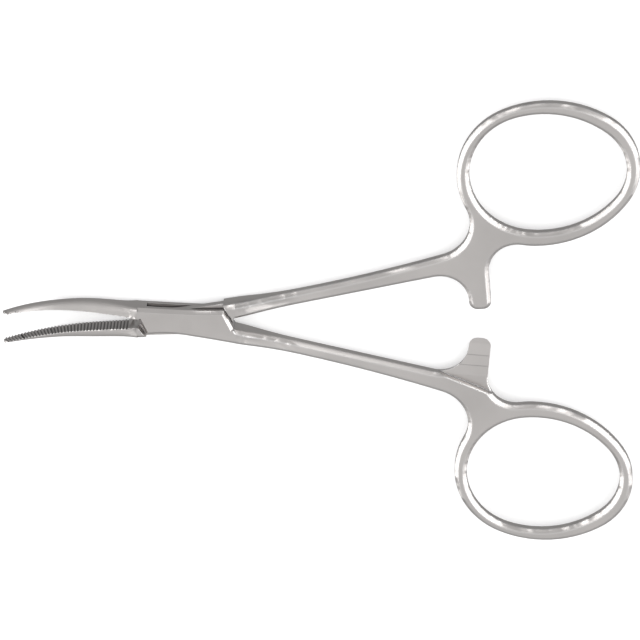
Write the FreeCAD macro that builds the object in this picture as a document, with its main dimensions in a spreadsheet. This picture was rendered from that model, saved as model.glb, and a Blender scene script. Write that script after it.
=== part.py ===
import FreeCAD, Part
import math
import os

import Sketcher
from FreeCAD import Placement, Rotation, Vector

# Curved mosquito-pattern hemostat with a box lock, in millimetres.
# Frame: origin on the pivot axis at the underside of the box lock,
# +X towards the finger rings, +Y towards the ring of the male half, +Z up.
# Both halves are drawn closed (mating plane y = 0, mid-plane z = 0 of the box)
# and are then each turned open about the pivot by the rest angle.

SIZES = {
    # pose
    "rest_turn": (4.6, "angle each half is turned open from closed"),
    # box lock
    "box_thick": (3.2, "thickness over both cheeks"),
    "box_half": (2.3, "half width of the box at its near cheek corners"),
    "far_half": (2.5, "half width of the box at its far cheek corners"),
    "waist": (1.9, "mating plane to the outer edge at the pivot"),
    "far_waist": (2.05, "mating plane to the far edge of the box at the pivot"),
    "cheek_reach": (5.73, "distance of the slanted cheek ends from the pivot axis"),
    "cheek_turn": (29.7, "angle of the cheek ends' normal from the X axis"),
    "shoulder_gap": (0.2, "clearance of the male shoulders to the cheek ends"),
    "tenon_thick": (0.95, "thickness of the male tenon"),
    "slot_gap": (0.05, "clearance on each face of the tenon"),
    "tenon_round": (5.8, "radius of the tenon ends about the pivot"),
    "tenon_gap": (0.15, "clearance of the tenon ends in the slot"),
    "pin_round": (0.9, "radius of the pivot pin"),
    "pin_gap": (0.04, "running clearance of the tenon on the pin"),
    # jaws
    "root_land": (0.31, "cheek end's inner corner to the plane where a jaw leaves the box"),
    "root_back": (1.8, "mating plane to the jaw's back at the jaw root"),
    "neck_run": (2.0, "jaw root to the jaw's neck, where its back becomes round"),
    "neck_wide": (2.75, "jaw width across the face at the neck"),
    "neck_back": (1.8, "mating plane to the jaw's back at the neck"),
    "neck_round": (0.9, "rounding of the jaw's back at the neck"),
    "straight_run": (5.0, "jaw's neck to the start of the curve"),
    "curve_drop": (0.3, "mid-plane of the jaws below that of the box at the start of the curve"),
    "curve_round": (21.8, "radius of the jaws' curve"),
    "curve_turn": (32.4, "angle the curve turns through"),
    "jaw_wide_mid": (2.5, "jaw width across the face at the start of the curve"),
    "jaw_wide_tip": (1.4, "jaw width across the face at the tip"),
    "jaw_deep_mid": (1.45, "jaw depth at the start of the curve"),
    "jaw_deep_tip": (0.34, "jaw depth at the tip"),
    "back_round_mid": (1.15, "rounding of the jaw's back at the start of the curve"),
    "back_round_tip": (0.3, "rounding of the jaw's back at the tip"),
    "back_spread_mid": (1.15, "width of that rounding at the start of the curve"),
    "back_spread_tip": (0.65, "width of that rounding at the tip"),
    "tip_blunt": (1.04, "radius of the rounded tip, to half the jaw's width there"),
    "face_gap_root": (0.16, "half gap of the closed faces at the box"),
    "face_gap_mid": (0.29, "half gap of the closed faces at the start of the curve"),
    "face_gap_tip": (0.03, "half gap of the closed faces at the tip"),
    "tooth_start": (0.9, "jaw root to the first groove of the serrations"),
    "tooth_pitch": (0.47, "pitch of the serrations along the face"),
    "tooth_deep": (0.19, "depth of a groove"),
    "tooth_land": (0.07, "flat crest left between two grooves"),
    # shanks
    "outer_round": (230.0, "radius of the outer shank edge"),
    "outer_slope": (4.4, "slope of the outer shank edge at the pivot"),
    "inner_root": (0.3, "inner shank edge above the mating plane at the box"),
    "inner_slope": (8.75, "slope of the inner shank edge"),
    "shank_thick": (1.9, "thickness of shank, web and ring"),
    "taper_lead": (0.43, "cheek end's inner corner to where the thickness starts to fall"),
    "taper_ease": (2.0, "length over which the fall sets in"),
    "taper_rest": (6.8, "length over which the fall runs out"),
    "edge_break": (0.5, "chamfer of all long edges"),
    "cheek_break": (0.4, "chamfer of the cheek ends' upper and lower edges"),
    # corners where shank, ring and ratchet arm meet
    "web_round": (5.4, "rounding between shank and ring"),
    "arm_round": (4.0, "rounding of both corners at the foot of the arm"),
    # finger ring: an egg of four tangent arcs
    "ring_x": (50.33, "centre of the hole's round nearest the pivot"),
    "ring_y": (19.7, "centre of the hole's round nearest the pivot"),
    "ring_root": (9.0, "radius of the round nearest the pivot"),
    "ring_end": (7.2, "radius of the far round"),
    "ring_span": (5.63, "distance between the centres of the two rounds"),
    "ring_side": (13.85, "radius of the two long sides"),
    "ring_turn": (2.0, "angle the hole leans outwards"),
    "ring_wall": (1.82, "width of the ring's wall"),
    "rim_turn": (8.0, "angle the outer rim leans outwards"),
    "rim_x": (0.08, "shift of the outer rim to the hole"),
    "rim_y": (-0.3, "shift of the outer rim to the hole"),
    # ratchet
    "arm_left": (39.9, "near side of the ratchet arm"),
    "arm_wide": (3.1, "width of the ratchet arm"),
    "arm_tip": (0.8, "reach of the arm past the mating plane"),
    "arm_tip_round": (1.2, "rounding of the arm's tip"),
    "step_foot": (6.1, "ground step at the foot of the arm, from the mating plane"),
    "step_turn": (19.0, "lean of the ground step"),
    "catch_first": (1.68, "first ratchet crest from the mating plane"),
    "catch_pitch": (1.68, "pitch of the ratchet teeth"),
    "catch_count": (3, "number of ratchet teeth on one arm"),
    "catch_high": (0.36, "height of a ratchet tooth"),
    "catch_gap": (0.03, "crest of the teeth to the mid-plane"),
}

# How far a cut runs past what it cuts, the least volume a cut takes away, the tolerance
# for comparing positions, the height of a groove's cutter above the jaw face, and the
# number of steps of the lofted jaw along its curve
PAST = "1"
LEAST_CUT = 0.01
NEAR = 1e-4
GROOVE_RISE = 0.12
JAW_STEPS = 4

THROUGH = "(dim.box_thick * 2)"
ACROSS = "(dim.ring_y * 4)"

doc = FreeCAD.newDocument("hemostat")
sheet = doc.addObject("Spreadsheet::Sheet", "dim")
for row, (alias, (number, note)) in enumerate(SIZES.items(), start=1):
    sheet.set("A%d" % row, alias)
    sheet.set("B%d" % row, str(number))
    sheet.set("C%d" % row, note)
    sheet.setAlias("B%d" % row, alias)
doc.recompute()


def value(expression):
    """Number that an expression of the sheet's sizes gives."""
    result = sheet.evalExpression(expression)
    return float(getattr(result, "Value", result))


def plane(body, role):
    """Origin plane or axis of a body."""
    return [item for item in body.Origin.OriginFeatures if item.Role == role][0]


def attach(sketch, body, role, shift=None, turn=None):
    """Attach a sketch to an origin plane, with an offset given by expressions."""
    sketch.AttachmentSupport = [(plane(body, role), "")]
    sketch.MapMode = "FlatFace"
    if turn is not None:
        axis, angle = turn
        sketch.AttachmentOffset = Placement(Vector(), Rotation(axis, value(angle)))
        sketch.setExpression("AttachmentOffset.Rotation.Angle", angle)
    if shift is not None:
        for letter, expression in zip("xyz", shift):
            sketch.setExpression("AttachmentOffset.Base." + letter, expression)


def bind(sketch, kind, geometry, point, expression):
    """Fix one coordinate or radius of a sketch to an expression."""
    if kind == "Radius":
        constraint = Sketcher.Constraint(kind, geometry, abs(value(expression)))
    else:
        constraint = Sketcher.Constraint(kind, -1, 1, geometry, point, value(expression))
    index = sketch.addConstraint(constraint)
    sketch.setExpression("Constraints[%d]" % index, expression)


def arc_through(start, end, radius, left):
    """Arc from start to end that bulges to the left or right of the way."""
    chord = end - start
    middle = (start + end) * 0.5
    normal = Vector(-chord.y, chord.x, 0).normalize()
    sag = radius - math.sqrt(max(radius ** 2 - (chord.Length / 2) ** 2, 0.0))
    if left:
        return Part.Arc(end, middle + normal * sag, start)
    return Part.Arc(start, middle - normal * sag, end)


def draw(sketch, corners):
    """Closed outline: each corner is (x, y) or (x, y, radius, bulge side)."""
    spots = [Vector(value(c[0]), value(c[1]), 0) for c in corners]
    ends = []
    for index, corner in enumerate(corners):
        start = spots[index]
        end = spots[(index + 1) % len(spots)]
        if len(corner) == 2:
            edge = sketch.addGeometry(Part.LineSegment(start, end))
            ends.append((edge, 1, 2))
        else:
            left = (corner[3] == "left") == (sketch_side(sketch) > 0)
            curve = arc_through(start, end, value(corner[2]), left)
            edge = sketch.addGeometry(curve)
            ends.append((edge, 2, 1) if left else (edge, 1, 2))
    for index, (edge, first, last) in enumerate(ends):
        follower = ends[(index + 1) % len(ends)]
        sketch.addConstraint(Sketcher.Constraint("Coincident", edge, last, follower[0], follower[1]))
    for (edge, first, last), corner in zip(ends, corners):
        bind(sketch, "DistanceX", edge, first, corner[0])
        bind(sketch, "DistanceY", edge, first, corner[1])
        if len(corner) == 4:
            bind(sketch, "Radius", edge, 0, corner[2])


def sketch_side(sketch):
    """Plus one where a sketch is drawn as named, minus one where mirrored."""
    return -1 if "mirrored" in sketch.Label2 else 1


def new_sketch(body, name, role, mirrored=False, shift=None, turn=None):
    """Sketch on an origin plane of a body."""
    sketch = body.newObject("Sketcher::SketchObject", name)
    sketch.Label2 = "mirrored" if mirrored else ""
    attach(sketch, body, role, shift, turn)
    return sketch


def flip(expression, side):
    """The expression, or its negative on the mirrored half."""
    return expression if side > 0 else "-(%s)" % expression


def mirror_x(corners, side):
    """The corners, with X turned round on the mirrored half."""
    return [(flip(c[0], side),) + tuple(c[1:]) for c in corners]


def mirror_y(corners, side):
    """The corners, with Y turned round on the mirrored half."""
    return [(c[0], flip(c[1], side)) + tuple(c[2:]) for c in corners]


def pad(body, name, sketch, length):
    """Pad to both sides of a sketch."""
    feature = body.newObject("PartDesign::Pad", name)
    feature.Profile = sketch
    feature.Midplane = True
    feature.setExpression("Length", length)
    return feature


def volume(body):
    """Volume of a body as it stands."""
    doc.recompute()
    return body.Shape.Volume


def pocket(body, name, sketch, length, midplane=True, upward=False):
    """Pocket to both sides of a sketch or to one; it has to take something away."""
    before = volume(body)
    feature = body.newObject("PartDesign::Pocket", name)
    feature.Profile = sketch
    feature.Midplane = midplane
    feature.Reversed = upward
    feature.setExpression("Length", length)
    assert volume(body) < before - LEAST_CUT
    return feature


def cheek_x(y, reach="dim.cheek_reach"):
    """X of the slanted cheek end at a height y above the pivot."""
    return "(%s - (%s) * sin(dim.cheek_turn)) / cos(dim.cheek_turn)" % (reach, y)


JAW_ROOT = "(%s + dim.root_land)" % cheek_x("-dim.face_gap_root")
JAW_NECK = "(%s + dim.neck_run)" % JAW_ROOT
JAW_BEND = "(%s + dim.straight_run)" % JAW_NECK
TAPER_START = "(%s + dim.taper_lead)" % cheek_x("-dim.inner_root")


def spot(x, y):
    """Point of the drawing plane given by two expressions."""
    return Vector(value(x), value(y), 0)


def circles_meet(first, first_radius, second, second_radius, near):
    """Meeting point of two circles, the one nearest a given point."""
    way = second - first
    reach = (first_radius ** 2 - second_radius ** 2 + way.Length ** 2) / (2 * way.Length)
    rise = math.sqrt(first_radius ** 2 - reach ** 2)
    along = way * (1 / way.Length)
    across = Vector(-along.y, along.x, 0)
    meets = [first + along * reach + across * rise, first + along * reach - across * rise]
    return min(meets, key=lambda point: (point - near).Length)


class Outline:
    """Closed outline of lines and tangent arcs in one sketch, mirrored where side is -1."""

    def __init__(self, sketch, side):
        self.sketch = sketch
        self.side = side
        self.pieces = []

    def place(self, point):
        return Vector(point.x, point.y * self.side, 0)

    def line(self, start, end, smooth=False, sizes=()):
        edge = self.sketch.addGeometry(Part.LineSegment(self.place(start), self.place(end)))
        self.pieces.append((edge, 1, 2, smooth, sizes))

    def arc(self, centre, radius, start, end, left_turn, smooth=True, sizes=()):
        """Arc that turns left or right about its centre and may run on smoothly."""
        middle = self.place(centre)
        counter = left_turn == (self.side > 0)
        low, high = self.place(start if counter else end), self.place(end if counter else start)
        from_angle = math.atan2(low.y - middle.y, low.x - middle.x)
        to_angle = math.atan2(high.y - middle.y, high.x - middle.x)
        if to_angle <= from_angle:
            to_angle += 2 * math.pi
        circle = Part.Circle(middle, Vector(0, 0, 1), radius)
        edge = self.sketch.addGeometry(Part.ArcOfCircle(circle, from_angle, to_angle))
        first, last = (1, 2) if counter else (2, 1)
        self.pieces.append((edge, first, last, smooth, sizes))

    def hollow(self, start, end, heading, sizes):
        """Shallow hollow at the side of the box that ends in a given heading."""
        way = start - end
        normal = Vector(-heading.y, heading.x, 0)
        radius = way.Length ** 2 / (2 * way.dot(normal))
        self.arc(end + normal * radius, radius, start, end, True, sizes=sizes)

    def straight(self, corners):
        """Lines through corners whose coordinates are all given by expressions."""
        for (x, y), (next_x, next_y) in zip(corners, corners[1:]):
            self.line(spot(x, y), spot(next_x, next_y), sizes=(("end_x", next_x), ("end_y", next_y)))

    def close(self):
        """Join the pieces, then fix the coordinates, radii and slopes named with each."""
        for index, (edge, first, last, smooth, sizes) in enumerate(self.pieces):
            follower = self.pieces[(index + 1) % len(self.pieces)]
            kind = "Tangent" if smooth else "Coincident"
            joint = Sketcher.Constraint(kind, edge, last, follower[0], follower[1])
            self.sketch.addConstraint(joint)
        for edge, first, last, smooth, sizes in self.pieces:
            points = {"start": first, "end": last, "centre": 3}
            for name, expression in sizes:
                if name == "radius":
                    bind(self.sketch, "Radius", edge, 0, expression)
                elif name.endswith("_x"):
                    bind(self.sketch, "DistanceX", edge, points[name[:-2]], expression)
                else:
                    bind(self.sketch, "DistanceY", edge, points[name[:-2]], flip(expression, self.side))


class Egg:
    """Four tangent arcs round the finger: the hole's edge, or the rim, which is a wall larger."""

    def __init__(self, x, y, turn, wall):
        far_x = "%s + dim.ring_span * cos(%s)" % (x, turn)
        far_y = "%s + dim.ring_span * sin(%s)" % (y, turn)
        rounds = ["dim.ring_%s + %s" % (name, wall) for name in ("root", "side", "end")]
        self.near, self.far = spot(x, y), spot(far_x, far_y)
        self.near_round, self.side_round, self.far_round = [value(size) for size in rounds]
        self.near_sizes = (("centre_x", x), ("centre_y", y), ("radius", rounds[0]))
        self.side_sizes = (("radius", rounds[1]),)
        self.far_sizes = (("centre_x", far_x), ("centre_y", far_y), ("radius", rounds[2]))
        self.upper = self.side_centre(-1)
        self.lower = self.side_centre(1)
        self.start = self.touch(self.lower, self.near)

    def side_centre(self, sign):
        """Centre of a long side's arc, below the egg for its upper side and above for its lower."""
        aim = self.near + Vector(0, sign * self.side_round, 0)
        return circles_meet(self.near, self.side_round - self.near_round,
                            self.far, self.side_round - self.far_round, aim)

    def touch(self, side, end):
        """Point where the arc of a long side runs into the round of an end."""
        return side + (end - side).normalize() * self.side_round

    def draw(self, outline, first, last):
        """Clockwise from a point of the near round past the far round to another of the near one."""
        upper, lower, near, far = self.upper, self.lower, self.near, self.far
        outline.arc(near, self.near_round, first, self.touch(upper, near), False, sizes=self.near_sizes)
        outline.arc(upper, self.side_round, self.touch(upper, near), self.touch(upper, far), False,
                    sizes=self.side_sizes)
        outline.arc(far, self.far_round, self.touch(upper, far), self.touch(lower, far), False,
                    sizes=self.far_sizes)
        outline.arc(lower, self.side_round, self.touch(lower, far), self.touch(lower, near), False,
                    sizes=self.side_sizes)
        if last is not self.start:
            outline.arc(near, self.near_round, self.start, last, False, sizes=self.near_sizes)


def draw_handle(outline):
    """Outer shank edge, round the ring, down and up the ratchet arm, inner shank edge."""
    rim = Egg("dim.ring_x + dim.rim_x", "dim.ring_y + dim.rim_y", "dim.rim_turn", "dim.ring_wall")
    near, r_near = rim.near, rim.near_round
    r_outer, r_web = value("dim.outer_round"), value("dim.web_round")
    r_arm, r_tip = value("dim.arm_round"), value("dim.arm_tip_round")

    outer_x = "-dim.outer_round * sin(dim.outer_slope)"
    outer_y = "dim.waist + dim.outer_round * cos(dim.outer_slope)"
    outer = spot(outer_x, outer_y)
    web = circles_meet(near, r_near + r_web, outer, r_outer - r_web, Vector())
    web_low = outer + (web - outer).normalize() * r_outer
    web_high = near + (web - near).normalize() * r_near
    outline.arc(outer, r_outer, spot("0", "dim.waist"), web_low, True, sizes=(
        ("centre_x", outer_x), ("centre_y", outer_y), ("radius", "dim.outer_round")))
    outline.arc(web, r_web, web_low, web_high, True, sizes=(("radius", "dim.web_round"),))

    left_x, right_x, tip_y = "dim.arm_left", "dim.arm_left + dim.arm_wide", "-dim.arm_tip"
    left, right, tip = value(left_x), value(right_x), value(tip_y)
    foot_x = right + r_arm
    foot_y = near.y - math.sqrt((r_near + r_arm) ** 2 - (foot_x - near.x) ** 2)
    foot = Vector(foot_x, foot_y, 0)
    foot_high = near + (foot - near).normalize() * r_near
    rim.draw(outline, web_high, foot_high)
    outline.arc(foot, r_arm, foot_high, Vector(right, foot_y, 0), True,
                sizes=(("radius", "dim.arm_round"),))

    high = tip + r_tip
    tip_sizes = (("radius", "dim.arm_tip_round"),)
    outline.line(Vector(right, foot_y, 0), Vector(right, high, 0), True,
                 sizes=(("start_x", right_x),))
    outline.arc(Vector(right - r_tip, high, 0), r_tip, Vector(right, high, 0),
                Vector(right - r_tip, tip, 0), False, sizes=tip_sizes + (("start_x", right_x),))
    outline.line(Vector(right - r_tip, tip, 0), Vector(left + r_tip, tip, 0), True,
                 sizes=(("start_y", tip_y),))
    outline.arc(Vector(left + r_tip, high, 0), r_tip, Vector(left + r_tip, tip, 0),
                Vector(left, high, 0), False, sizes=tip_sizes + (("start_y", tip_y),))

    slope = math.radians(value("dim.inner_slope"))
    start = spot(cheek_x("-dim.inner_root"), "dim.inner_root")
    along = Vector(math.cos(slope), math.sin(slope), 0)
    below = Vector(math.sin(slope), -math.cos(slope), 0)
    reach = (left - r_arm - start.x - below.x * r_arm) / along.x
    touch = start + along * reach
    corner = touch + below * r_arm
    outline.line(Vector(left, high, 0), Vector(left, corner.y, 0), True,
                 sizes=(("start_x", left_x), ("end_x", left_x)))
    touch_x = "dim.arm_left - dim.arm_round * (1 + sin(dim.inner_slope))"
    touch_y = "dim.inner_root + (%s - (%s)) * tan(dim.inner_slope)" % (touch_x, cheek_x("-dim.inner_root"))
    outline.arc(corner, r_arm, Vector(left, corner.y, 0), touch, True, sizes=(
        ("end_x", touch_x), ("end_y", touch_y)))
    outline.line(touch, start, sizes=(("end_x", cheek_x("-dim.inner_root")), ("end_y", "dim.inner_root")))


def heading_out():
    """Direction of the outer shank edge at the pivot."""
    slope = math.radians(value("dim.outer_slope"))
    return Vector(math.cos(slope), math.sin(slope), 0)


def draw_far_side(outline, corner):
    """Hollowed far side of the box, and the jaw's back and root."""
    root = spot("-" + JAW_ROOT, "-dim.root_back")
    middle = spot("0", "-dim.far_waist")
    outline.hollow(spot(*corner), middle, (root - middle).normalize(),
                   (("end_x", "0"), ("end_y", "-dim.far_waist")))
    outline.straight([
        ("0", "-dim.far_waist"),
        ("-" + JAW_ROOT, "-dim.root_back"),
        ("-" + JAW_ROOT, "-dim.face_gap_root"),
    ])


def draw_box(outline):
    """Slanted cheek ends, hollowed sides and jaw root."""
    half_x = cheek_x("dim.box_half")
    far_corner = (cheek_x("dim.far_half"), "-dim.far_half")
    outline.straight([(cheek_x("-dim.inner_root"), "dim.inner_root"), far_corner])
    draw_far_side(outline, far_corner)
    outline.straight([
        ("-" + JAW_ROOT, "-dim.face_gap_root"),
        ("-(%s)" % cheek_x("-dim.face_gap_root"), "-dim.face_gap_root"),
        ("-(%s)" % half_x, "dim.box_half"),
    ])
    outline.hollow(spot("-(%s)" % half_x, "dim.box_half"), spot("0", "dim.waist"), heading_out(),
                   (("end_x", "0"),))


def build_handle(body, side):
    """Box or tenon, shank, web, arm and ring, with their broken edges."""
    outline = Outline(new_sketch(body, "outline", "XY_Plane"), side)
    draw_handle(outline)
    draw_box(outline)
    outline.close()
    pad(body, "blank", outline.sketch, "dim.box_thick")
    hole = Outline(new_sketch(body, "finger_hole", "XY_Plane"), side)
    edge = Egg("dim.ring_x", "dim.ring_y", "dim.ring_turn", "0")
    edge.draw(hole, edge.start, edge.start)
    hole.close()
    pocket(body, "finger_opening", hole.sketch, THROUGH)
    build_taper(body)
    break_long_edges(body)


def build_taper(body):
    """Top and bottom fall in a gentle S from the box to the even thickness of the shank."""
    drop = "((dim.box_thick - dim.shank_thick) / 2)"
    ease = "dim.taper_ease"
    rest = "dim.taper_rest"
    share_one = "(%s * %s / (%s + %s))" % (drop, ease, ease, rest)
    share_two = "(%s * %s / (%s + %s))" % (drop, rest, ease, rest)
    first = "(%s ^ 2 + %s ^ 2) / (2 * %s)" % (ease, share_one, share_one)
    second = "(%s ^ 2 + %s ^ 2) / (2 * %s)" % (rest, share_two, share_two)
    far = "dim.ring_x + dim.rim_x + dim.ring_span + dim.ring_end + dim.ring_wall + " + PAST
    for name, side in (("fall_top", 1), ("fall_bottom", -1)):
        sketch = new_sketch(body, name, "XZ_Plane", mirrored=side < 0)
        corners = [
            (TAPER_START, "dim.box_thick / 2", first, "left"),
            (TAPER_START + " + dim.taper_ease", "dim.box_thick / 2 - " + share_one, second, "right"),
            (TAPER_START + " + dim.taper_ease + dim.taper_rest", "dim.shank_thick / 2"),
            (far, "dim.shank_thick / 2"),
            (far, "dim.box_thick"),
            (TAPER_START, "dim.box_thick"),
        ]
        draw(sketch, mirror_y(corners, side))
        pocket(body, name + "_cut", sketch, ACROSS)


def long_edge(edge):
    """Edges of the top and bottom outline, but none at a jaw root or a cheek end."""
    middle = edge.valueAt((edge.FirstParameter + edge.LastParameter) / 2)
    first, last = edge.Vertexes[0].Point, edge.Vertexes[-1].Point
    across = abs(first.x - last.x) < NEAR and abs(first.z - last.z) < NEAR and first.y != last.y
    if abs(middle.z) < value("dim.shank_thick / 2") - NEAR:
        return False
    if middle.x < value(TAPER_START):
        return abs(middle.y) > value("min(dim.waist; dim.root_back)") - NEAR
    return middle.x > value("dim.arm_left - dim.arm_round") or not across


def break_long_edges(body):
    """Chamfer of the long edges, which have to be found and to make the body smaller."""
    doc.recompute()
    base = body.Tip
    edges = ["Edge%d" % index for index, edge in enumerate(base.Shape.Edges, 1) if long_edge(edge)]
    assert edges
    feature = body.newObject("PartDesign::Chamfer", "broken_edges")
    feature.Base = (base, edges)
    feature.setExpression("Size", "dim.edge_break")
    assert volume(body) < base.Shape.Volume - LEAST_CUT


def jaw_section(body, name, side, wide, gap, rear, back, spread, shift, turn):
    """Cross-section of a jaw: flat face, two sides and a rounded back."""
    sketch = new_sketch(body, name, "YZ_Plane", mirrored=side < 0, shift=shift,
                        turn=(Vector(1, 0, 0), turn))
    half = "(%s) / 2" % wide
    side_end = "%s - (%s)" % (rear, back)
    round_back = "(((%s) ^ 2 + (%s) ^ 2) / (2 * (%s)))" % (back, spread, back)
    corners = [
        (gap, "-" + half),
        (gap, half),
        (side_end, half, round_back, "left"),
        (rear, "%s - (%s)" % (half, spread)),
        (rear, "-%s + (%s)" % (half, spread), round_back, "left"),
        (side_end, "-" + half),
    ]
    draw(sketch, mirror_x(corners, side))
    return sketch


def share(name, part):
    """Size between its value at the start of the curve and at the tip."""
    return "(dim.%s_mid + (dim.%s_tip - dim.%s_mid) * %s)" % (name, name, name, part)


def build_jaw(body, side):
    """One jaw, lofted from its root through the neck and along the curve, with a round tip."""
    neck_part = "(dim.neck_run / (dim.neck_run + dim.straight_run))"
    sections = [
        jaw_section(body, "jaw_root", side, "dim.box_thick", "dim.face_gap_root", "dim.root_back",
                    "dim.edge_break", "dim.edge_break", ("0", "0", "-" + JAW_ROOT), "0"),
        jaw_section(body, "jaw_neck", side, "dim.neck_wide", straight_gap(neck_part), "dim.neck_back",
                    "dim.neck_round", "dim.neck_round",
                    ("0", "-dim.curve_drop * " + neck_part, "-" + JAW_NECK), "0"),
    ]
    for count in range(JAW_STEPS + 1):
        part = "%d / %d" % (count, JAW_STEPS)
        angle = "(dim.curve_turn * %s)" % part
        shift = ("0",
                 "dim.curve_round * (1 - cos(%s)) - dim.curve_drop" % angle,
                 "-%s - dim.curve_round * sin(%s)" % (JAW_BEND, angle))
        gap = face_gap("(%s)" % part)
        sections.append(jaw_section(body, "jaw_front_%d" % count, side, share("jaw_wide", part), gap,
                                    "(%s + %s)" % (gap, share("jaw_deep", part)),
                                    share("back_round", part), share("back_spread", part),
                                    shift, angle))
    jaw = body.newObject("PartDesign::AdditiveLoft", "jaw")
    jaw.Profile = sections[0]
    jaw.Sections = sections[1:]
    doc.recompute()
    build_tip(body)


def straight_gap(part):
    """Half gap of the closed faces between the jaw root and the start of the curve."""
    return "(dim.face_gap_root + (dim.face_gap_mid - dim.face_gap_root) * %s)" % part


def face_gap(part):
    """Half gap of the closed faces along the curve: full at first and nearly shut at the tip."""
    return "(dim.face_gap_mid + (dim.face_gap_tip - dim.face_gap_mid) * %s ^ 3)" % part


def build_tip(body):
    """Round off the tip as seen from the side."""
    half = "dim.jaw_wide_tip / 2"
    angle = "(dim.curve_turn - %s / dim.curve_round * 180 / pi)" % half
    shift = ("-%s - dim.curve_round * sin(%s)" % (JAW_BEND, angle),
             "dim.curve_round * (1 - cos(%s)) - dim.curve_drop" % angle, "0")
    sketch = new_sketch(body, "tip_round", "XZ_Plane", shift=shift,
                        turn=(Vector(0, 0, 1), "-" + angle))
    out = "%s * 2" % half
    draw(sketch, [
        ("0", half, half + " * dim.tip_blunt", "right"),
        ("0", "-" + half),
        ("0", "-(%s)" % out),
        ("-(%s)" % out, "-(%s)" % out),
        ("-(%s)" % out, out),
        ("0", out),
    ])
    pocket(body, "tip_cut", sketch, ACROSS)


def build_ratchet(body, side, up):
    """Ground step and saw teeth of the ratchet arm; up is +1 for teeth on top."""
    floor = "%d * (dim.catch_gap + dim.catch_high)" % -up
    crest = "%d * dim.catch_gap" % -up
    step = new_sketch(body, "step", "XY_Plane", mirrored=side < 0, shift=("0", "0", crest))
    reach = "(dim.arm_round * 1.1)"
    below = "-dim.arm_tip - " + PAST
    left = "dim.arm_left - " + reach
    right = "dim.arm_left + dim.arm_wide + " + reach
    corners = [
        (left, below),
        (right, below),
        (right, "dim.step_foot + (dim.arm_wide + %s) * tan(dim.step_turn)" % reach),
        (left, "dim.step_foot - %s * tan(dim.step_turn)" % reach),
    ]
    draw(step, mirror_y(corners, side))
    pocket(body, "ground_step", step, "dim.shank_thick", midplane=False, upward=up > 0)

    across = ("0", "0", "dim.arm_left + dim.arm_wide / 2")
    width = "dim.arm_wide + 2 * dim.arm_round"
    flat = new_sketch(body, "tip_flat", "YZ_Plane", mirrored=side < 0, shift=across)
    draw(flat, mirror_x([
        (below, crest),
        (below, floor),
        ("dim.catch_first - dim.catch_pitch", floor),
        ("dim.catch_first - dim.catch_pitch", crest),
    ], side))
    pocket(body, "tip_flat_cut", flat, width)
    ramp = new_sketch(body, "ramp", "YZ_Plane", mirrored=side < 0, shift=across)
    draw(ramp, mirror_x([
        ("dim.catch_first - dim.catch_pitch", floor),
        ("dim.catch_first", crest),
        ("dim.catch_first - dim.catch_pitch", crest),
    ], side))
    first = pocket(body, "first_ramp", ramp, width)
    row = body.newObject("PartDesign::LinearPattern", "teeth")
    row.Originals = [first]
    row.Direction = (plane(body, "Y_Axis"), [""])
    row.Reversed = side < 0
    row.setExpression("Length", "dim.catch_pitch * (dim.catch_count - 1)")
    row.setExpression("Occurrences", "dim.catch_count")
    body.Tip = row
    doc.recompute()


def build_pin_hole(body, radius):
    """Round hole for the pin, right through."""
    sketch = new_sketch(body, "pin_seat", "XY_Plane")
    circle = sketch.addGeometry(Part.Circle(Vector(), Vector(0, 0, 1), value(radius)))
    sketch.addConstraint(Sketcher.Constraint("Coincident", circle, 3, -1, 1))
    bind(sketch, "Radius", circle, 0, radius)
    pocket(body, "pin_hole", sketch, THROUGH)


def build_slot(body):
    """Slot right through the female box, with round ends for the turning tenon."""
    radius = "dim.tenon_round + dim.tenon_gap"
    wide = "dim.far_half + " + PAST
    end = "sqrt((%s) ^ 2 - (%s) ^ 2)" % (radius, wide)
    out = "(%s + %s)" % (JAW_ROOT, PAST)
    sketch = new_sketch(body, "slot", "XY_Plane")
    draw(sketch, [
        (out, "0"),
        (out, wide),
        ("-" + end, wide, radius, "right"),
        ("-(%s)" % radius, "0"),
        ("-(%s)" % out, "0"),
        ("-(%s)" % out, "-(%s)" % wide),
        (end, "-(%s)" % wide, radius, "right"),
        (radius, "0"),
    ])
    pocket(body, "slot_cut", sketch, "dim.tenon_thick + 2 * dim.slot_gap")


def build_cheek_bevels(body):
    """Bevels along the upper and lower edges of both cheek ends of the female box."""
    size = "dim.cheek_break"
    face = "dim.box_thick / 2"
    ends = [
        ("right", cheek_x("-dim.inner_root"), "dim.inner_root", "dim.cheek_turn"),
        ("left", "-(%s)" % cheek_x("-dim.face_gap_root"), "-dim.face_gap_root", "dim.cheek_turn + 180"),
    ]
    for name, corner_x, corner_drop, turn in ends:
        for level, side in (("upper", 1), ("lower", -1)):
            sketch = new_sketch(body, "bevel_%s_%s" % (name, level), "XZ_Plane",
                                shift=(corner_x, "0", corner_drop), turn=(Vector(0, 1, 0), turn))
            draw(sketch, mirror_y([
                ("-" + size, face),
                ("0", "%s - %s" % (face, size)),
                (size, face),
                (size, "%s + %s" % (face, size)),
                ("-" + size, "%s + %s" % (face, size)),
            ], side))
            pocket(body, "cut_%s_%s" % (name, level), sketch, "dim.box_half + dim.far_half",
                   midplane=False)


def build_tenon(body):
    """Seats for the cheeks above and below the tenon, between slanted shoulders."""
    reach = "(dim.cheek_reach + dim.shoulder_gap)"
    high = "(dim.far_half + %s)" % PAST
    right_top = cheek_x(high, reach)
    right_low = cheek_x("-" + high, reach)
    for name, level, up in (("seat_top", "dim.tenon_thick / 2", True),
                            ("seat_bottom", "-dim.tenon_thick / 2", False)):
        sketch = new_sketch(body, name, "XY_Plane", shift=("0", "0", level))
        draw(sketch, [
            (right_top, high),
            ("-(%s)" % right_low, high),
            ("-(%s)" % right_top, "-" + high),
            (right_low, "-" + high),
        ])
        pocket(body, name + "_cut", sketch, "dim.box_thick", midplane=False, upward=up)
    build_tenon_ends(body)


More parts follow.
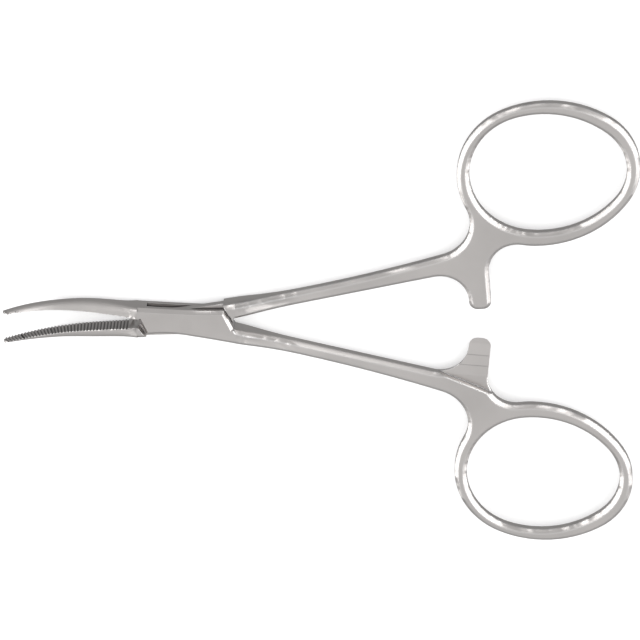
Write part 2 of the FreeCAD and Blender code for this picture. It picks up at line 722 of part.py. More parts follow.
def build_tenon_ends(body):
    """Round ends of the tenon, where it comes out of the slot."""
    wide = "dim.far_half + " + PAST
    out = "(%s + %s)" % (JAW_ROOT, PAST)
    high = "sqrt(dim.tenon_round ^ 2 - (%s) ^ 2)" % wide
    sketch = new_sketch(body, "ends_right", "XY_Plane")
    draw(sketch, [
        (out, "dim.inner_root"),
        ("sqrt(dim.tenon_round ^ 2 - dim.inner_root ^ 2)", "dim.inner_root", "dim.tenon_round", "left"),
        (high, "-(%s)" % wide),
        (out, "-(%s)" % wide),
    ])
    pocket(body, "ends_right_cut", sketch, THROUGH)
    sketch = new_sketch(body, "ends_left", "XY_Plane")
    draw(sketch, [
        ("-(%s)" % out, "-dim.face_gap_root"),
        ("-sqrt(dim.tenon_round ^ 2 - dim.face_gap_root ^ 2)", "-dim.face_gap_root",
         "dim.tenon_round", "left"),
        ("-" + high, wide),
        ("-(%s)" % out, wide),
    ])
    pocket(body, "ends_left_cut", sketch, THROUGH)


def serration_cutter(side, offset):
    """V grooves across the jaw face, square to its curve, one beside the other."""
    pitch, deep, land = value("dim.tooth_pitch"), value("dim.tooth_deep"), value("dim.tooth_land")
    root, bend = value(JAW_ROOT), value(JAW_BEND)
    start = root + value("dim.tooth_start")
    curve, turn = value("dim.curve_round"), value("dim.curve_turn")
    length = bend - start + curve * math.radians(turn)
    reach = value("dim.box_thick")
    half = (pitch - land) / 2
    grow = half * (deep + GROOVE_RISE) / deep
    grooves = []
    for count in range(int(length / pitch)):
        way = (count + offset) * pitch
        run = way - (bend - start)
        if run < 0:
            part = (start + way - root) / (bend - root)
            gap = value(straight_gap("%.4f" % part))
            angle = 0.0
            place = Vector(-(start + way), 0, -part * value("dim.curve_drop"))
        else:
            angle = run / curve
            gap = value(face_gap("%.4f" % (math.degrees(angle) / turn)))
            rise = curve * (1 - math.cos(angle)) - value("dim.curve_drop")
            place = Vector(-bend - curve * math.sin(angle), 0, rise)
        face = side * gap
        profile = Part.makePolygon([
            Vector(-grow, face - side * GROOVE_RISE, -reach),
            Vector(0, face + side * deep, -reach),
            Vector(grow, face - side * GROOVE_RISE, -reach),
            Vector(-grow, face - side * GROOVE_RISE, -reach),
        ])
        groove = Part.Face(profile).extrude(Vector(0, 0, 2 * reach))
        groove.Placement = Placement(place, Rotation(Vector(0, 1, 0), math.degrees(angle)))
        grooves.append(groove)
    return Part.makeCompound(grooves)


def finish_half(label, body, side, offset, turn):
    """Cut the serrations and turn the finished half open about the pivot."""
    cutter = doc.addObject("Part::Feature", label + "_serrations")
    cutter.Shape = serration_cutter(side, offset)
    half = doc.addObject("Part::Cut", label)
    half.Label = label
    half.Base = body
    half.Tool = cutter
    half.Placement = Placement(Vector(), Rotation(Vector(0, 0, 1), value(turn)))
    half.setExpression("Placement.Base.z", "dim.box_thick / 2")
    half.setExpression("Placement.Rotation.Angle", turn)
    doc.recompute()
    return half


# Female half: box with slot, upper jaw, lower shank, arm with teeth on top, lower ring.
female = doc.addObject("PartDesign::Body", "female_body")
build_handle(female, -1)
build_jaw(female, 1)
build_cheek_bevels(female)
build_slot(female)
build_pin_hole(female, "dim.pin_round")
build_ratchet(female, -1, 1)
female_half = finish_half("female_half", female, 1, 0.5, "-dim.rest_turn")

# Male half: tenon through the box, lower jaw, upper shank, arm with teeth beneath, upper ring.
male = doc.addObject("PartDesign::Body", "male_body")
build_handle(male, 1)
build_jaw(male, -1)
build_tenon(male)
build_pin_hole(male, "dim.pin_round + dim.pin_gap")
build_ratchet(male, 1, -1)
male_half = finish_half("male_half", male, -1, 1.0, "dim.rest_turn")

# Pivot pin: a rivet pressed into both cheeks and ground flush with them.
pivot_pin = doc.addObject("Part::Cylinder", "pivot_pin")
pivot_pin.Label = "pivot_pin"
pivot_pin.setExpression("Radius", "dim.pin_round")
pivot_pin.setExpression("Height", "dim.box_thick")
doc.recompute()

PIECES = [female_half, male_half, pivot_pin]

for item in doc.Objects:
    if "Invalid" in item.State or "Error" in item.State:
        raise RuntimeError("%s: %s" % (item.Label, item.State))
for piece in PIECES:
    if piece.Shape.isNull() or not piece.Shape.isValid():
        raise RuntimeError("bad shape: " + piece.Label)
    if len(piece.Shape.Solids) != 1:
        raise RuntimeError("%s has %d solids" % (piece.Label, len(piece.Shape.Solids)))

os.makedirs("parts", exist_ok=True)
for piece in PIECES:
    piece.Shape.exportStep(os.path.join("parts", piece.Label + ".step"))
    box = piece.Shape.BoundBox
    print("%-12s volume %8.3f  x %.2f..%.2f  y %.2f..%.2f  z %.2f..%.2f" % (
        piece.Label, piece.Shape.Volume, box.XMin, box.XMax, box.YMin, box.YMax, box.ZMin, box.ZMax))
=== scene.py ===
import logging
import math
from dataclasses import dataclass
from enum import Enum
from typing import Sequence, Union

import bpy
from mathutils import Matrix, Vector


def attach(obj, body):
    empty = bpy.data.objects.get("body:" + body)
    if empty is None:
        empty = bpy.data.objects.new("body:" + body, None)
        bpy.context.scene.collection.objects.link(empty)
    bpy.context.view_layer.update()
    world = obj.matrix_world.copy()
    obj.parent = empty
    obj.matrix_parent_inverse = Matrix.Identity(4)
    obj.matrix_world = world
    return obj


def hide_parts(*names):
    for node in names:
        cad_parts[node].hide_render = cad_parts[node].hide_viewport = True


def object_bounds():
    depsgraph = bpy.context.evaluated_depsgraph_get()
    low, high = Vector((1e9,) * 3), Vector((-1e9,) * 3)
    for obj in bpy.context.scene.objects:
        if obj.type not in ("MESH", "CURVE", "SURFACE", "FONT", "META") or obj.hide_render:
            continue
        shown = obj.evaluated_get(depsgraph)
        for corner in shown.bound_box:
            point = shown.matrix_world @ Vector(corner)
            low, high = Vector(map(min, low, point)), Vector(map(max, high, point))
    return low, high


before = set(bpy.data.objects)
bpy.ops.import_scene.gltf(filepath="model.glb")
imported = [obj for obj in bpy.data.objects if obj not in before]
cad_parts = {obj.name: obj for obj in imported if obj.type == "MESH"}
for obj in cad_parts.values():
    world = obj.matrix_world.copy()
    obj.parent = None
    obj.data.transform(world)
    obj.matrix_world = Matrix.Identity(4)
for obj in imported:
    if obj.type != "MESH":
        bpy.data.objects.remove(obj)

LOG = logging.getLogger("hemostat")
CAD_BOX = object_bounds()
MM = 0.001

Value = Union[float, Sequence[float]]
Feed = Union[bpy.types.NodeSocket, Value]


class Slot(Enum):
    """Material slots of the two halves in the record."""

    FEMALE = "steel_female"
    MALE = "steel_male"


class Blend(Enum):
    """Ways to mix two colours."""

    PLAIN = "MIX"
    MULTIPLY = "MULTIPLY"


class Part(Enum):
    """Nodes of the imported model."""

    FEMALE = "female_half"
    MALE = "male_half"
    PIN = "pivot_pin"


def deselect_all() -> None:
    """Leave edit mode and select nothing."""
    if bpy.context.object is not None and bpy.context.object.mode != "OBJECT":
        bpy.ops.object.mode_set(mode="OBJECT")
    bpy.ops.object.select_all(action="DESELECT")


def make_active(piece: bpy.types.Object) -> None:
    """Select one object alone and make it active."""
    deselect_all()
    piece.select_set(True)
    bpy.context.view_layer.objects.active = piece


def feed(tree: bpy.types.NodeTree, socket: bpy.types.NodeSocket, given: Feed) -> None:
    """Give an input a link or a value.

    Args:
        tree: the nodes that the input belongs to.
        socket: the input to feed.
        given: the socket that it is linked to, or its value.
    """
    if isinstance(given, bpy.types.NodeSocket):
        tree.links.new(given, socket)
    else:
        socket.default_value = given


@dataclass
class GroupMaker:
    """Builds one shader node group with named inputs and outputs.

    Args:
        name: name of the group.
    """

    name: str

    def __post_init__(self) -> None:
        """Start an empty group with its input and output nodes."""
        self.tree = bpy.data.node_groups.new(self.name, "ShaderNodeTree")
        self.entry = self.tree.nodes.new("NodeGroupInput")
        self.exit = self.tree.nodes.new("NodeGroupOutput")

    def take(self, name: str, default: float) -> None:
        """Add a number input.

        Args:
            name: name of the socket.
            default: value where a material gives none.
        """
        sockets = self.tree.interface
        socket = sockets.new_socket(name, in_out="INPUT", socket_type="NodeSocketFloat")
        socket.default_value = default

    def give(self, name: str, kind: str = "NodeSocketFloat") -> None:
        """Add an output.

        Args:
            name: name of the socket.
            kind: type of the socket.
        """
        self.tree.interface.new_socket(name, in_out="OUTPUT", socket_type=kind)

    def node(self, kind: str, **settings: object) -> bpy.types.Node:
        """Add a node.

        Args:
            kind: type of the node.
            settings: properties to set on it.

        Returns:
            The new node.
        """
        item = self.tree.nodes.new(kind)
        for key, setting in settings.items():
            setattr(item, key, setting)
        return item

    def link(self, source: bpy.types.NodeSocket, target: bpy.types.NodeSocket) -> None:
        """Join two sockets."""
        self.tree.links.new(source, target)

    def math(self, operation: str, first: Feed, second: Feed = 0.0) -> bpy.types.NodeSocket:
        """Add a math node.

        Args:
            operation: name of the operation.
            first: a socket or a number.
            second: a socket or a number.

        Returns:
            The result's socket.
        """
        item = self.node("ShaderNodeMath", operation=operation)
        for socket, given in zip(item.inputs, (first, second)):
            feed(self.tree, socket, given)
        return item.outputs[0]

    def mix(self, share: Feed, first: Feed, second: Feed) -> bpy.types.NodeSocket:
        """Add a mix of two numbers.

        Args:
            share: part that the second has.
            first: a socket or a number.
            second: a socket or a number.

        Returns:
            The result's socket.
        """
        item = self.node("ShaderNodeMix")
        for name, given in (("Factor", share), ("A", first), ("B", second)):
            feed(self.tree, item.inputs[name], given)
        return item.outputs["Result"]

    def axes(self) -> Sequence[bpy.types.NodeSocket]:
        """Add the object's own coordinates.

        Returns:
            The sockets of X, Y and Z.
        """
        place = self.node("ShaderNodeTexCoord")
        split = self.node("ShaderNodeSeparateXYZ")
        self.link(place.outputs["Object"], split.inputs[0])
        return tuple(split.outputs)

    def noise(
        self, place: bpy.types.NodeSocket, scale: Feed, detail: float, roughness: float
    ) -> bpy.types.NodeSocket:
        """Add a noise that fills space.

        Args:
            place: the coordinates that it is read at.
            scale: how many spots a metre holds.
            detail: number of finer layers.
            roughness: weight of the finer layers.

        Returns:
            The noise's socket.
        """
        item = self.node("ShaderNodeTexNoise", noise_dimensions="3D")
        settings = {"Vector": place, "Scale": scale, "Detail": detail, "Roughness": roughness}
        for name, given in settings.items():
            feed(self.tree, item.inputs[name], given)
        return item.outputs["Fac"]


class SteelEffects:
    """Effects that all steel finishes share, each one a node group."""

    EDGE_SAMPLES = 6
    CORNER_SAMPLES = 8

    def __init__(self) -> None:
        """Build the groups once."""
        self.grain = self.build_grain()
        self.brushing = self.build_brushing()
        self.edges = self.build_edges()
        self.zones = self.build_zones()
        self.corners = self.build_corner_shade()

    @staticmethod
    def build_grain() -> bpy.types.NodeTree:
        """Fine grain of blasted steel.

        Returns:
            Group with the grain's height and a slow change of tone.
        """
        maker = GroupMaker("blasted_grain")
        maker.take("Grains per metre", 9000.0)
        maker.take("Clouds per metre", 90.0)
        maker.give("Height")
        maker.give("Tone")
        given = maker.entry.outputs
        place = maker.node("ShaderNodeTexCoord").outputs["Object"]
        fine = maker.noise(place, given["Grains per metre"], detail=3.0, roughness=0.6)
        slow = maker.noise(place, given["Clouds per metre"], detail=4.0, roughness=0.55)
        maker.link(fine, maker.exit.inputs["Height"])
        maker.link(slow, maker.exit.inputs["Tone"])
        return maker.tree

    @staticmethod
    def build_brushing() -> bpy.types.NodeTree:
        """Fine scratches that run along the instrument.

        Returns:
            Group with the height of the scratches.
        """
        maker = GroupMaker("lengthwise_brushing")
        maker.take("Lines per metre", 16000.0)
        maker.take("Stretch", 0.03)
        maker.give("Height")
        given = maker.entry.outputs
        along, across, up = maker.axes()
        join = maker.node("ShaderNodeCombineXYZ")
        maker.link(maker.math("MULTIPLY", along, given["Stretch"]), join.inputs["X"])
        maker.link(across, join.inputs["Y"])
        maker.link(up, join.inputs["Z"])
        lines = maker.noise(join.outputs[0], given["Lines per metre"], detail=2.0, roughness=0.5)
        maker.link(lines, maker.exit.inputs["Height"])
        return maker.tree

    @classmethod
    def build_edges(cls) -> bpy.types.NodeTree:
        """Slightly rounded edges, painted lighter partly as wear and partly as a painted
        highlight.

        Returns:
            Group with a mask of the edges and a normal that rounds them.
        """
        maker = GroupMaker("edge_wear_and_sheen")
        maker.take("Radius", 0.1 * MM)
        maker.take("Gain", 6.0)
        maker.give("Mask")
        maker.give("Normal", "NodeSocketVector")
        given = maker.entry.outputs
        rounded = maker.node("ShaderNodeBevel", samples=cls.EDGE_SAMPLES)
        maker.link(given["Radius"], rounded.inputs["Radius"])
        plain = maker.node("ShaderNodeNewGeometry")
        turn = maker.node("ShaderNodeVectorMath", operation="DOT_PRODUCT")
        maker.link(rounded.outputs["Normal"], turn.inputs[0])
        maker.link(plain.outputs["Normal"], turn.inputs[1])
        apart = maker.math("SUBTRACT", 1.0, turn.outputs["Value"])
        mask = maker.math("MINIMUM", maker.math("MULTIPLY", apart, given["Gain"]), 1.0)
        maker.link(mask, maker.exit.inputs["Mask"])
        maker.link(rounded.outputs["Normal"], maker.exit.inputs["Normal"])
        return maker.tree

    @staticmethod
    def build_zones() -> bpy.types.NodeTree:
        """How far the edges are rounded, by place.

        The jaws' edges are the finest but for the ratchet teeth, those of the box are softer, and
        the shanks and rings are rounded broadly. The pin's rim isn't rounded at all.

        Returns:
            Group with the radius of the rounding.
        """
        maker = GroupMaker("rounding_zones")
        maker.take("Jaws", 0.06 * MM)
        maker.take("Box", 0.10 * MM)
        maker.take("Shanks", 0.40 * MM)
        maker.take("Teeth", 0.03 * MM)
        maker.take("Box end", 6.6 * MM)
        maker.take("Arm near side", 38.4 * MM)
        maker.take("Arm far side", 44.6 * MM)
        maker.take("Arm foot", 8.6 * MM)
        maker.take("Pin rim", 1.3 * MM)
        maker.give("Radius")
        given = maker.entry.outputs
        along, across, _ = maker.axes()
        on_shank = maker.math("GREATER_THAN", along, given["Box end"])
        jaw_start = maker.math("MULTIPLY", given["Box end"], -1.0)
        on_jaw = maker.math("LESS_THAN", along, jaw_start)
        radius = maker.mix(on_shank, given["Box"], given["Shanks"])
        radius = maker.mix(on_jaw, radius, given["Jaws"])
        past_near = maker.math("GREATER_THAN", along, given["Arm near side"])
        before_far = maker.math("LESS_THAN", along, given["Arm far side"])
        above_foot = maker.math("LESS_THAN", maker.math("ABSOLUTE", across), given["Arm foot"])
        on_arm = maker.math("MULTIPLY", maker.math("MULTIPLY", past_near, before_far), above_foot)
        radius = maker.mix(on_arm, radius, given["Teeth"])
        along_squared = maker.math("MULTIPLY", along, along)
        across_squared = maker.math("MULTIPLY", across, across)
        from_pin = maker.math("SQRT", maker.math("ADD", along_squared, across_squared))
        near_pin = maker.math("LESS_THAN", from_pin, given["Pin rim"])
        radius = maker.mix(near_pin, radius, 0.0)
        maker.link(radius, maker.exit.inputs["Radius"])
        return maker.tree

    @classmethod
    def build_corner_shade(cls) -> bpy.types.NodeTree:
        """Painted shade in grooves, slots and inner corners, from ambient occlusion.

        Returns:
            Group with a mask of the painted shade.
        """
        maker = GroupMaker("painted_corner_shade")
        maker.take("Reach", 0.35 * MM)
        maker.take("Gain", 1.6)
        maker.give("Mask")
        given = maker.entry.outputs
        # Painted shade: the less open sky the ambient occlusion finds, the darker the steel is
        # painted.
        open_sky = maker.node("ShaderNodeAmbientOcclusion", samples=cls.CORNER_SAMPLES)
        maker.link(given["Reach"], open_sky.inputs["Distance"])
        closed = maker.math("SUBTRACT", 1.0, open_sky.outputs["AO"])
        mask = maker.math("MINIMUM", maker.math("MULTIPLY", closed, given["Gain"]), 1.0)
        maker.link(mask, maker.exit.inputs["Mask"])
        return maker.tree


@dataclass(frozen=True)
class SatinSteel:
    """Blasted and brushed stainless steel.

    Args:
        name: name of the material.
        tone: linear colour of the flats.
        wear_and_sheen: linear colour of the edges, lighter partly from wear and partly as a
            painted highlight.
        painted_shade_tone: linear colour of the painted shade in grooves and corners.
        dull: roughness of the flats.
        bright: roughness of the lighter edges.
        grain: strength of the grain's bump.
        lines: strength of the brushing's bump.
        depth: height of grain and brushing.
        clouds: range of the slow noise that the unevenness is spread over.
        tone_swing: least and greatest brightness of the clouds.
        dull_swing: least and greatest share of the roughness in the clouds.
        teeth_up: whether the ratchet teeth are on the upper side.
    """

    name: str
    tone: Sequence[float] = (0.60, 0.575, 0.56)
    wear_and_sheen: Sequence[float] = (0.80, 0.79, 0.785)
    painted_shade_tone: Sequence[float] = (0.10, 0.095, 0.10)
    dull: float = 0.36
    bright: float = 0.22
    grain: float = 0.22
    lines: float = 0.10
    depth: float = 0.02 * MM
    clouds: Sequence[float] = (0.3, 0.7)
    tone_swing: Sequence[float] = (0.94, 1.05)
    dull_swing: Sequence[float] = (0.9, 1.1)
    teeth_up: bool = False

    def material(self, effects: SteelEffects) -> bpy.types.Material:
        """Build the material.

        Args:
            effects: the shared node groups.

        Returns:
            The material.
        """
        finish = bpy.data.materials.new(self.name)
        finish.use_nodes = True
        tree = finish.node_tree
        shader = tree.nodes["Principled BSDF"]
        shader.inputs["Metallic"].default_value = 1.0
        grain = self.place_group(tree, effects.grain)
        lines = self.place_group(tree, effects.brushing)
        edges = self.place_group(tree, effects.edges)
        zones = self.place_group(tree, effects.zones)
        corners = self.place_group(tree, effects.corners)
        if not self.teeth_up:
            zones.inputs["Arm foot"].default_value = 0.0
        tree.links.new(zones.outputs["Radius"], edges.inputs["Radius"])
        colour = self.colour(tree, grain, edges, corners)
        tree.links.new(colour, shader.inputs["Base Color"])
        tree.links.new(self.roughness(tree, grain, edges), shader.inputs["Roughness"])
        tree.links.new(self.relief(tree, grain, lines, edges), shader.inputs["Normal"])
        return finish

    @staticmethod
    def place_group(tree: bpy.types.NodeTree, group: bpy.types.NodeTree) -> bpy.types.Node:
        """Put a shared group in the material."""
        item = tree.nodes.new("ShaderNodeGroup")
        item.node_tree = group
        return item

    @staticmethod
    def mix_colours(
        tree: bpy.types.NodeTree, share: Feed, first: Feed, second: Feed, mode: Blend = Blend.PLAIN
    ) -> bpy.types.NodeSocket:
        """Mix two colours.

        Args:
            tree: the material's nodes.
            share: part that the second has.
            first: a socket or a colour.
            second: a socket or a colour.
            mode: how they are mixed.

        Returns:
            The colour's socket.
        """
        item = tree.nodes.new("ShaderNodeMix")
        item.data_type = "RGBA"
        item.blend_type = mode.value
        for name, given in (("Factor", share), ("A", first), ("B", second)):
            feed(tree, item.inputs[name], given)
        return item.outputs["Result"]

    def spread(
        self, tree: bpy.types.NodeTree, grain: bpy.types.Node, span: Sequence[float]
    ) -> bpy.types.NodeSocket:
        """Spread the slow noise over a span of values.

        Args:
            tree: the material's nodes.
            grain: the grain group.
            span: least and greatest value.

        Returns:
            The value's socket.
        """
        item = tree.nodes.new("ShaderNodeMapRange")
        item.inputs["From Min"].default_value, item.inputs["From Max"].default_value = self.clouds
        item.inputs["To Min"].default_value, item.inputs["To Max"].default_value = span
        tree.links.new(grain.outputs["Tone"], item.inputs["Value"])
        return item.outputs["Result"]

    def colour(
        self,
        tree: bpy.types.NodeTree,
        grain: bpy.types.Node,
        edges: bpy.types.Node,
        corners: bpy.types.Node,
    ) -> bpy.types.NodeSocket:
        """Colour of the steel: cloudy flats, edges painted lighter partly as wear and partly as a
        painted highlight, and painted shade in the corners.

        Args:
            tree: the material's nodes.
            grain: the grain group.
            edges: the edge group.
            corners: the group of the painted shade in the corners.

        Returns:
            The colour's socket.
        """
        clouds = self.spread(tree, grain, self.tone_swing)
        flats = self.mix_colours(tree, 1.0, (*self.tone, 1.0), clouds, Blend.MULTIPLY)
        # Edges are painted lighter, partly as wear and partly as a painted highlight.
        with_sheen = self.mix_colours(tree, edges.outputs["Mask"], flats, (*self.wear_and_sheen, 1.0))
        # Painted shade: grooves, slots and inner corners are painted dark.
        return self.mix_colours(tree, corners.outputs["Mask"], with_sheen, (*self.painted_shade_tone, 1.0))

    def roughness(
        self, tree: bpy.types.NodeTree, grain: bpy.types.Node, edges: bpy.types.Node
    ) -> bpy.types.NodeSocket:
        """Roughness of the steel: uneven flats and smoother edges.

        Args:
            tree: the material's nodes.
            grain: the grain group.
            edges: the edge group.

        Returns:
            The roughness socket.
        """
        flats = self.spread(tree, grain, [self.dull * share for share in self.dull_swing])
        item = tree.nodes.new("ShaderNodeMix")
        for name, given in (("Factor", edges.outputs["Mask"]), ("A", flats), ("B", self.bright)):
            feed(tree, item.inputs[name], given)
        return item.outputs["Result"]

    def relief(
        self,
        tree: bpy.types.NodeTree,
        grain: bpy.types.Node,
        lines: bpy.types.Node,
        edges: bpy.types.Node,
    ) -> bpy.types.NodeSocket:
        """Fine relief of grain and brushing over the rounded edges.

        Args:
            tree: the material's nodes.
            grain: the grain group.
            lines: the brushing group.
            edges: the edge group.

        Returns:
            The normal's socket.
        """
        normal = edges.outputs["Normal"]
        for layer, strength in ((grain, self.grain), (lines, self.lines)):
            bump = tree.nodes.new("ShaderNodeBump")
            bump.inputs["Strength"].default_value = strength
            bump.inputs["Distance"].default_value = self.depth
            tree.links.new(layer.outputs["Height"], bump.inputs["Height"])
            tree.links.new(normal, bump.inputs["Normal"])
            normal = bump.outputs["Normal"]
        return normal


@dataclass
class DressedHalf:
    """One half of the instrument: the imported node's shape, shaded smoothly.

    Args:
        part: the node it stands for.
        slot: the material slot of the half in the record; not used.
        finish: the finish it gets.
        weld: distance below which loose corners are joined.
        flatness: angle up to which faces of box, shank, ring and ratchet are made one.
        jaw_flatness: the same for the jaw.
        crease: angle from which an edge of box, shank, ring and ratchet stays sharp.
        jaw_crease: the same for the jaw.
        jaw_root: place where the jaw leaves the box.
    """

    part: Part
    slot: Slot
    finish: SatinSteel
    weld: float = 0.0005 * MM
    flatness: float = math.radians(0.3)
    jaw_flatness: float = math.radians(0.05)
    crease: float = math.radians(12.5)
    jaw_crease: float = math.radians(9.0)
    jaw_root: float = -6.9 * MM

    def build(self, effects: SteelEffects) -> bpy.types.Object:
        """Build the half in place of its node.

        Args:
            effects: the shared node groups.

        Returns:
            The dressed half.
        """
        piece = self.copy_node()
        self.join_faces(piece)
        self.round_edges(piece)
        piece.data.materials.clear()
        piece.data.materials.append(self.finish.material(effects))
        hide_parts(self.part.value)
        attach(piece, self.part.value)
        return piece

    def copy_node(self) -> bpy.types.Object:
        """Copy the node and its mesh.

        Returns:
            The copy.
        """
        make_active(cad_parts[self.part.value])
        bpy.ops.object.duplicate()
        piece = bpy.context.object
        piece.name = self.part.value + "_satin"
        return piece

    def join_faces(self, piece: bpy.types.Object) -> None:
        """Join the loose triangles, and make each flat face one.

        Args:
            piece: the copy of the node.
        """
        make_active(piece)
        bpy.ops.object.mode_set(mode="EDIT")
        bpy.ops.mesh.select_all(action="SELECT")
        bpy.ops.mesh.remove_doubles(threshold=self.weld)
        bpy.ops.mesh.select_all(action="DESELECT")
        bpy.ops.mesh.select_mode(type="FACE")
        bpy.ops.object.mode_set(mode="OBJECT")
        for on_jaw, angle in ((True, self.jaw_flatness), (False, self.flatness)):
            for face in piece.data.polygons:
                face.select = (face.center.x < self.jaw_root) == on_jaw
            bpy.ops.object.mode_set(mode="EDIT")
            bpy.ops.mesh.dissolve_limited(angle_limit=angle)
            bpy.ops.mesh.select_all(action="DESELECT")
            bpy.ops.object.mode_set(mode="OBJECT")

    def round_edges(self, piece: bpy.types.Object) -> None:
        """Let the curved faces run smoothly into each other, with finer creases on the jaw.

        Args:
            piece: the joined copy.
        """
        make_active(piece)
        bpy.ops.object.shade_smooth_by_angle(angle=self.crease)
        bpy.ops.object.mode_set(mode="EDIT")
        bpy.ops.mesh.select_mode(type="EDGE")
        bpy.ops.mesh.select_all(action="DESELECT")
        bpy.ops.mesh.edges_select_sharp(sharpness=self.jaw_crease)
        bpy.ops.object.mode_set(mode="OBJECT")
        corners = piece.data.vertices
        for edge in piece.data.edges:
            if max(corners[index].co.x for index in edge.vertices) > self.jaw_root:
                edge.select = False
        bpy.ops.object.mode_set(mode="EDIT")
        bpy.ops.mesh.mark_sharp()
        bpy.ops.mesh.select_all(action="DESELECT")
        bpy.ops.mesh.select_mode(type="VERT")
        bpy.ops.object.mode_set(mode="OBJECT")


@dataclass
class DressedPin:
    """The pivot pin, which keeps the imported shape.

    Args:
        finish: the finish it gets.
    """

    finish: SatinSteel

    def build(self, effects: SteelEffects) -> bpy.types.Object:
        """Give the pin its material.

        Args:
            effects: the shared node groups.

        Returns:
            The pin's object.
        """
        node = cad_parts[Part.PIN.value]
        node.data.materials.clear()
        node.data.materials.append(self.finish.material(effects))
        return node


@dataclass(frozen=True)
class Panel:
    """One soft panel of light that faces the instrument.

    Args:
        name: name of the light.
        spot: place of the panel.
        size: its width and height.
        watts: its power.
    """

    name: str
    spot: Sequence[float]
    size: Sequence[float] = (1.3, 0.78)
    watts: float = 6.5

    def build(self, target: Vector) -> None:
        """Build the light.

        Args:
            target: the point it faces.
        """
        deselect_all()
        bpy.ops.object.light_add(type="AREA", location=self.spot)
        lamp = bpy.context.object
        lamp.name = self.name
        lamp.data.shape = "RECTANGLE"
        lamp.data.size, lamp.data.size_y = self.size
        lamp.data.energy = self.watts
        way = target - Vector(self.spot)
        lamp.rotation_euler = way.to_track_quat("-Z", "Y").to_euler()


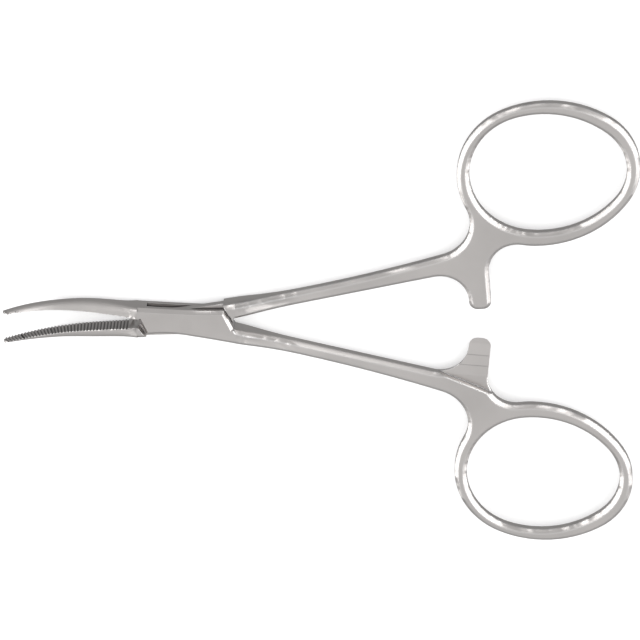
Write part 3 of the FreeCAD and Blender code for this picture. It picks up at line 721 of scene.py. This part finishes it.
@dataclass
class Studio:
    """Pale floor, soft light and the camera at the photograph's angle.

    Args:
        tilt: angle of the view from straight above, in degrees.
        turn: angle from which the camera looks, about the pivot's axis, in degrees.
        roll: turn of the picture, in degrees.
        distance: camera to the instrument.
        pixel: length that one pixel of the picture shows.
        pivot: middle of the pivot pin.
        pivot_seen: place of the pivot pin in the picture, in pixels.
        frame_pixels: width and height of the picture, in pixels.
        sensor: width of the camera's sensor, in millimetres.
        clip: nearest and farthest distance that the camera shows.
        floor_size: width and depth of the floor.
        floor_gap: distance of the floor below the instrument.
        floor_tone: brightness of the floor.
        floor_glow: light that the floor gives off.
        floor_dull: roughness of the floor.
        floor_gloss: strength of the floor's reflection.
        sky: brightness of the surroundings from straight below (0) to straight above (1).
        panels: the lights, one at each end of the instrument.
    """

    tilt: float = 27.92
    turn: float = 4.5
    roll: float = 4.77
    distance: float = 0.775
    pixel: float = 0.1406 * MM
    pivot: Sequence[float] = (0.0, 0.0, 1.6 * MM)
    pivot_seen: Sequence[float] = (186.25, 319.46)
    frame_pixels: int = 640
    sensor: float = 36.0
    clip: Sequence[float] = (0.01, 20.0)
    floor_size: float = 3.0
    floor_gap: float = 0.02 * MM
    floor_tone: float = 0.85
    floor_glow: float = 0.3
    floor_dull: float = 0.9
    floor_gloss: float = 0.1
    sky: Sequence[Sequence[float]] = (
        (0.0, 0.36),
        (0.42, 0.42),
        (0.50, 0.56),
        (0.75, 0.62),
        (0.92, 0.74),
        (1.0, 0.76),
    )
    panels: Sequence[Panel] = (
        Panel("panel_left", (-0.71, 0.02, 0.38)),
        Panel("panel_right", (0.71, 0.12, 0.38)),
    )

    def build(self) -> None:
        """Build floor, world, lights and camera."""
        self.floor()
        self.world()
        for panel in self.panels:
            panel.build(Vector(self.pivot))
        self.camera()

    def floor(self) -> None:
        """Pale matt floor under the instrument, which its steel doesn't reflect."""
        deselect_all()
        level = CAD_BOX[0][2] - self.floor_gap
        bpy.ops.mesh.primitive_plane_add(size=self.floor_size, location=(0, 0, level))
        ground = bpy.context.object
        ground.name = "floor"
        finish = bpy.data.materials.new("pale_floor")
        finish.use_nodes = True
        shader = finish.node_tree.nodes["Principled BSDF"]
        shader.inputs["Base Color"].default_value = (*[self.floor_tone] * 3, 1.0)
        shader.inputs["Roughness"].default_value = self.floor_dull
        shader.inputs["Specular IOR Level"].default_value = self.floor_gloss
        shader.inputs["Emission Color"].default_value = (1.0, 1.0, 1.0, 1.0)
        shader.inputs["Emission Strength"].default_value = self.floor_glow
        ground.data.materials.append(finish)
        ground.visible_glossy = False

    def world(self) -> None:
        """Soft surroundings: darker below and pale overhead."""
        sky = bpy.data.worlds.new("studio")
        bpy.context.scene.world = sky
        sky.use_nodes = True
        tree = sky.node_tree
        light = tree.nodes["Background"]
        light.inputs["Strength"].default_value = 1.0
        place = tree.nodes.new("ShaderNodeTexCoord")
        split = tree.nodes.new("ShaderNodeSeparateXYZ")
        height = tree.nodes.new("ShaderNodeMapRange")
        height.inputs["From Min"].default_value = -1.0
        height.inputs["From Max"].default_value = 1.0
        ramp = tree.nodes.new("ShaderNodeValToRGB")
        tree.links.new(place.outputs["Generated"], split.inputs[0])
        tree.links.new(split.outputs["Z"], height.inputs["Value"])
        tree.links.new(height.outputs["Result"], ramp.inputs["Fac"])
        tree.links.new(ramp.outputs["Color"], light.inputs["Color"])
        elements = ramp.color_ramp.elements
        while len(elements) < len(self.sky):
            elements.new(0.5)
        for element, (position, level) in zip(elements, self.sky):
            element.position = position
            element.color = (level, level, level, 1.0)

    def camera(self) -> None:
        """Long lens at the photograph's angle."""
        deselect_all()
        bpy.ops.object.camera_add()
        view = bpy.context.object
        view.name = "photo_view"
        tilt, roll = math.radians(self.tilt), math.radians(self.roll)
        about = Matrix.Rotation(math.radians(-self.turn), 3, "Z")
        back = about @ Vector((0.0, math.sin(tilt), math.cos(tilt)))
        up = about @ Vector((0.0, math.cos(tilt), -math.sin(tilt)))
        side = about @ Vector((1.0, 0.0, 0.0))
        right = side * math.cos(roll) + up * math.sin(roll)
        high = up * math.cos(roll) - side * math.sin(roll)
        middle = self.frame_pixels / 2
        across = (middle - self.pivot_seen[0]) * self.pixel
        above = (self.pivot_seen[1] - middle) * self.pixel
        aim = Vector(self.pivot) + right * across + high * above
        place = aim + back * self.distance
        rows = Matrix((right, high, back)).transposed().to_4x4()
        view.matrix_world = Matrix.Translation(place) @ rows
        view.data.sensor_width = self.sensor
        view.data.lens = self.sensor * self.distance / (self.pixel * self.frame_pixels)
        view.data.clip_start, view.data.clip_end = self.clip
        bpy.context.scene.camera = view
        bpy.context.scene.view_settings.view_transform = "Standard"


def main() -> None:
    """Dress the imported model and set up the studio."""
    logging.basicConfig(level=logging.INFO, format="%(name)s: %(message)s")
    effects = SteelEffects()
    pieces = [
        DressedHalf(Part.FEMALE, Slot.FEMALE, SatinSteel("satin_female", teeth_up=True)),
        DressedHalf(Part.MALE, Slot.MALE, SatinSteel("satin_male")),
        DressedPin(SatinSteel("satin_pin", tone=(0.59, 0.565, 0.55))),
    ]
    for piece in pieces:
        built = piece.build(effects)
        LOG.info("%s: %d faces", built.name, len(built.data.polygons))
    Studio().build()


if __name__ == "__main__":
    main()
